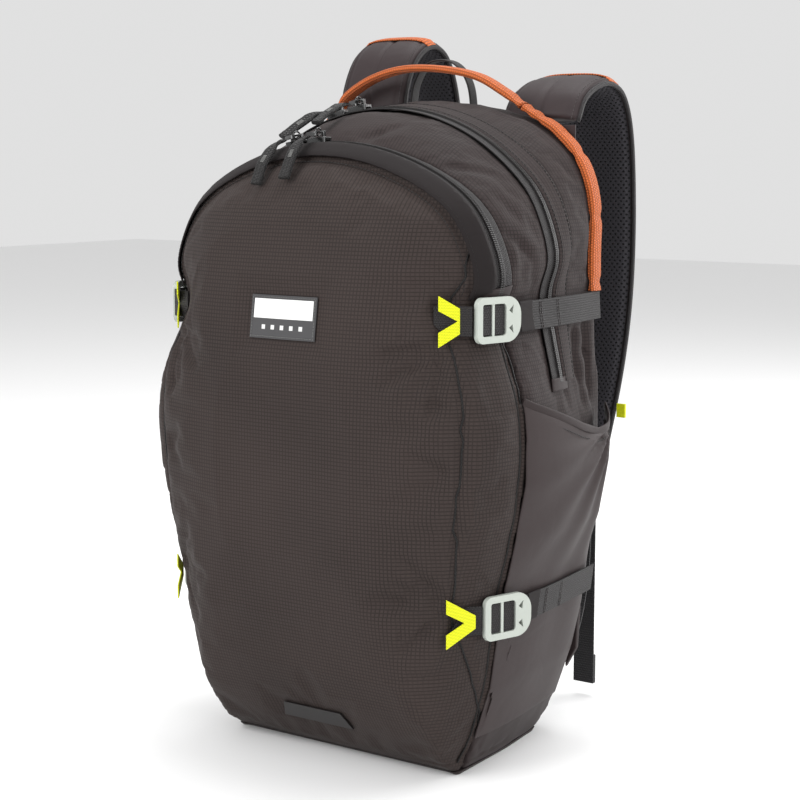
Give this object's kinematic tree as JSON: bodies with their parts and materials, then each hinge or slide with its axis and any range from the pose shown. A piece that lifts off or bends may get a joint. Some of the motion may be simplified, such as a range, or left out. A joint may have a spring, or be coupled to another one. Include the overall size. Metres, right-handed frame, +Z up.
{
  "type": "daypack",
  "caption": "Zipped daypack with a front pocket, side pockets, compression straps with buckles, a haul handle and two padded shoulder straps.",
  "frame": {"origin": "on the flat base, below the middle of the bag; the origin is 97 mm in front of the back seam", "axes": "+Z up, -Y towards the front pocket, +Y towards the wearer's back, +X to the right as seen from the front"},
  "size_m": [0.3594, 0.3391, 0.5854],
  "materials": {
    "ripstop_fabric": "matt ripstop",
    "base_fabric": "coated plain weave",
    "stretch_fabric": "smooth stretch weave",
    "spacer_mesh": "open spacer mesh",
    "frame_plastic": "moulded sheet",
    "zip_tape": "woven tape with coil teeth",
    "flap_fabric": "smooth black fabric",
    "lime_webbing": "narrow webbing",
    "orange_webbing": "thick woven webbing",
    "label_weave": "woven label",
    "tab_rubber": "coated tab",
    "slider_metal": "gloss black",
    "pull_rubber": "satin",
    "buckle_plastic": "satin moulded",
    "strap_fabric": "smooth weave",
    "black_webbing": "woven webbing"
  },
  "bodies": {
    "bag": {"main_compartment": "ripstop_fabric", "front_pocket": "ripstop_fabric", "base_panel": "base_fabric", "back_panel": "spacer_mesh", "frame_sheet": "frame_plastic", "laptop_sleeve": "spacer_mesh", "side_pocket_right": "stretch_fabric", "side_pocket_left": "stretch_fabric", "front_zip": "zip_tape", "main_zip": "zip_tape", "front_zip_flap": "flap_fabric", "main_zip_flap": "flap_fabric", "seam_webbing_right": "black_webbing", "seam_webbing_left": "black_webbing", "compression_webbing_right": "black_webbing", "compression_webbing_left": "black_webbing", "gear_loops_right": "lime_webbing", "gear_loops_left": "lime_webbing", "handle_webbing_right": "orange_webbing", "handle_webbing_left": "orange_webbing", "strap_yoke": "flap_fabric", "label": "label_weave", "light_tab": "tab_rubber", "adjuster_webbing_right": "black_webbing", "adjuster_webbing_left": "black_webbing", "strap_anchor_right": "flap_fabric", "strap_anchor_left": "flap_fabric"},
    "front_left_slider": {"front_left_slider": "slider_metal"},
    "front_left_pull": {"front_left_pull": "pull_rubber"},
    "front_right_slider": {"front_right_slider": "slider_metal"},
    "front_right_pull": {"front_right_pull": "pull_rubber"},
    "main_left_slider": {"main_left_slider": "slider_metal"},
    "main_left_pull": {"main_left_pull": "pull_rubber"},
    "main_right_slider": {"main_right_slider": "slider_metal"},
    "main_right_pull": {"main_right_pull": "pull_rubber"},
    "upper_buckle_right": {"upper_buckle_right": "buckle_plastic", "upper_buckle_webbing_right": "black_webbing"},
    "upper_buckle_left": {"upper_buckle_left": "buckle_plastic", "upper_buckle_webbing_left": "black_webbing"},
    "lower_buckle_right": {"lower_buckle_right": "buckle_plastic", "lower_buckle_webbing_right": "black_webbing"},
    "lower_buckle_left": {"lower_buckle_left": "buckle_plastic", "lower_buckle_webbing_left": "black_webbing"},
    "haul_handle": {"haul_handle": "orange_webbing"},
    "hang_loop": {"hang_loop": "black_webbing"},
    "strap_right": {"strap_pad_right": "strap_fabric", "strap_mesh_right": "spacer_mesh", "strap_band_right": "orange_webbing", "strap_tab_right": "lime_webbing", "strap_tongue_right": "black_webbing"},
    "lock_right": {"ladder_lock_right": "buckle_plastic"},
    "tail_right": {"webbing_tail_right": "black_webbing"},
    "strap_left": {"strap_pad_left": "strap_fabric", "strap_mesh_left": "spacer_mesh", "strap_band_left": "orange_webbing", "strap_tab_left": "lime_webbing", "strap_tongue_left": "black_webbing"},
    "lock_left": {"ladder_lock_left": "buckle_plastic"},
    "tail_left": {"webbing_tail_left": "black_webbing"}
  },
  "joints": [
    {"name": "front_left_slider_run", "type": "hinge", "parent": "bag", "child": "front_left_slider", "pos_m": [0, -0.06, 0.275], "axis": [0, 1, 0], "range_deg": [-17, 0]},
    {"name": "front_left_pull_flop", "type": "hinge", "parent": "front_left_slider", "child": "front_left_pull", "pos_m": [-0.03761, -0.06, 0.49734], "axis": [-0.9265, 0.342, -0.1567], "range_deg": [0, 110]},
    {"name": "front_right_slider_run", "type": "hinge", "parent": "bag", "child": "front_right_slider", "pos_m": [0, -0.06, 0.275], "axis": [0, 1, 0], "range_deg": [0, 30]},
    {"name": "front_right_pull_flop", "type": "hinge", "parent": "front_right_slider", "child": "front_right_pull", "pos_m": [-0.01573, -0.06, 0.49995], "axis": [-0.9951, 0.0698, -0.0696], "range_deg": [0, 110]},
    {"name": "main_left_slider_run", "type": "hinge", "parent": "bag", "child": "main_left_slider", "pos_m": [0, 0.014, 0.338], "axis": [0, 1, 0], "range_deg": [-16, 0]},
    {"name": "main_left_pull_flop", "type": "hinge", "parent": "main_left_slider", "child": "main_left_pull", "pos_m": [-0.05442, 0.014, 0.52056], "axis": [-0.8299, 0.5, -0.2474], "range_deg": [0, 100]},
    {"name": "main_right_slider_run", "type": "hinge", "parent": "bag", "child": "main_right_slider", "pos_m": [0, 0.014, 0.338], "axis": [0, 1, 0], "range_deg": [0, 38]},
    {"name": "main_right_pull_flop", "type": "hinge", "parent": "main_right_slider", "child": "main_right_pull", "pos_m": [-0.03177, 0.014, 0.52583], "axis": [-0.9764, 0.1392, -0.1651], "range_deg": [0, 100]},
    {"name": "upper_buckle_right_tilt", "type": "hinge", "parent": "bag", "child": "upper_buckle_right", "pos_m": [0.14817, -0.08177, 0.362], "axis": [0, 0, -1], "range_deg": [0, 20]},
    {"name": "upper_buckle_left_tilt", "type": "hinge", "parent": "bag", "child": "upper_buckle_left", "pos_m": [-0.14817, -0.08177, 0.362], "axis": [0, 0, 1], "range_deg": [0, 20]},
    {"name": "lower_buckle_right_tilt", "type": "hinge", "parent": "bag", "child": "lower_buckle_right", "pos_m": [0.15025, -0.071, 0.136], "axis": [0, 0, -1], "range_deg": [0, 20]},
    {"name": "lower_buckle_left_tilt", "type": "hinge", "parent": "bag", "child": "lower_buckle_left", "pos_m": [-0.15025, -0.071, 0.136], "axis": [0, 0, 1], "range_deg": [0, 20]},
    {"name": "haul_handle_flop", "type": "hinge", "parent": "bag", "child": "haul_handle", "pos_m": [0, 0.0895, 0.519], "axis": [1, 0, 0], "range_deg": [0, 25]},
    {"name": "hang_loop_flop", "type": "hinge", "parent": "bag", "child": "hang_loop", "pos_m": [0, 0.1045, 0.51], "axis": [-1, 0, 0], "range_deg": [0, 50]},
    {"name": "strap_right_swing", "type": "hinge", "parent": "bag", "child": "strap_right", "pos_m": [0.086, 0.106, 0.51], "axis": [1, 0, 0], "range_deg": [0, 8]},
    {"name": "lock_right_tilt", "type": "hinge", "parent": "strap_right", "child": "lock_right", "pos_m": [0.086, 0.188, 0.2295], "axis": [1, 0, 0], "range_deg": [0, 35]},
    {"name": "tail_right_swing", "type": "hinge", "parent": "lock_right", "child": "tail_right", "pos_m": [0.086, 0.1914, 0.2118], "axis": [1, 0, 0], "range_deg": [-8, 30]},
    {"name": "strap_left_swing", "type": "hinge", "parent": "bag", "child": "strap_left", "pos_m": [-0.086, 0.106, 0.51], "axis": [1, 0, 0], "range_deg": [0, 8]},
    {"name": "lock_left_tilt", "type": "hinge", "parent": "strap_left", "child": "lock_left", "pos_m": [-0.086, 0.188, 0.2295], "axis": [1, 0, 0], "range_deg": [0, 35]},
    {"name": "tail_left_swing", "type": "hinge", "parent": "lock_left", "child": "tail_left", "pos_m": [-0.086, 0.1914, 0.2118], "axis": [1, 0, 0], "range_deg": [-8, 30]}
  ]
}
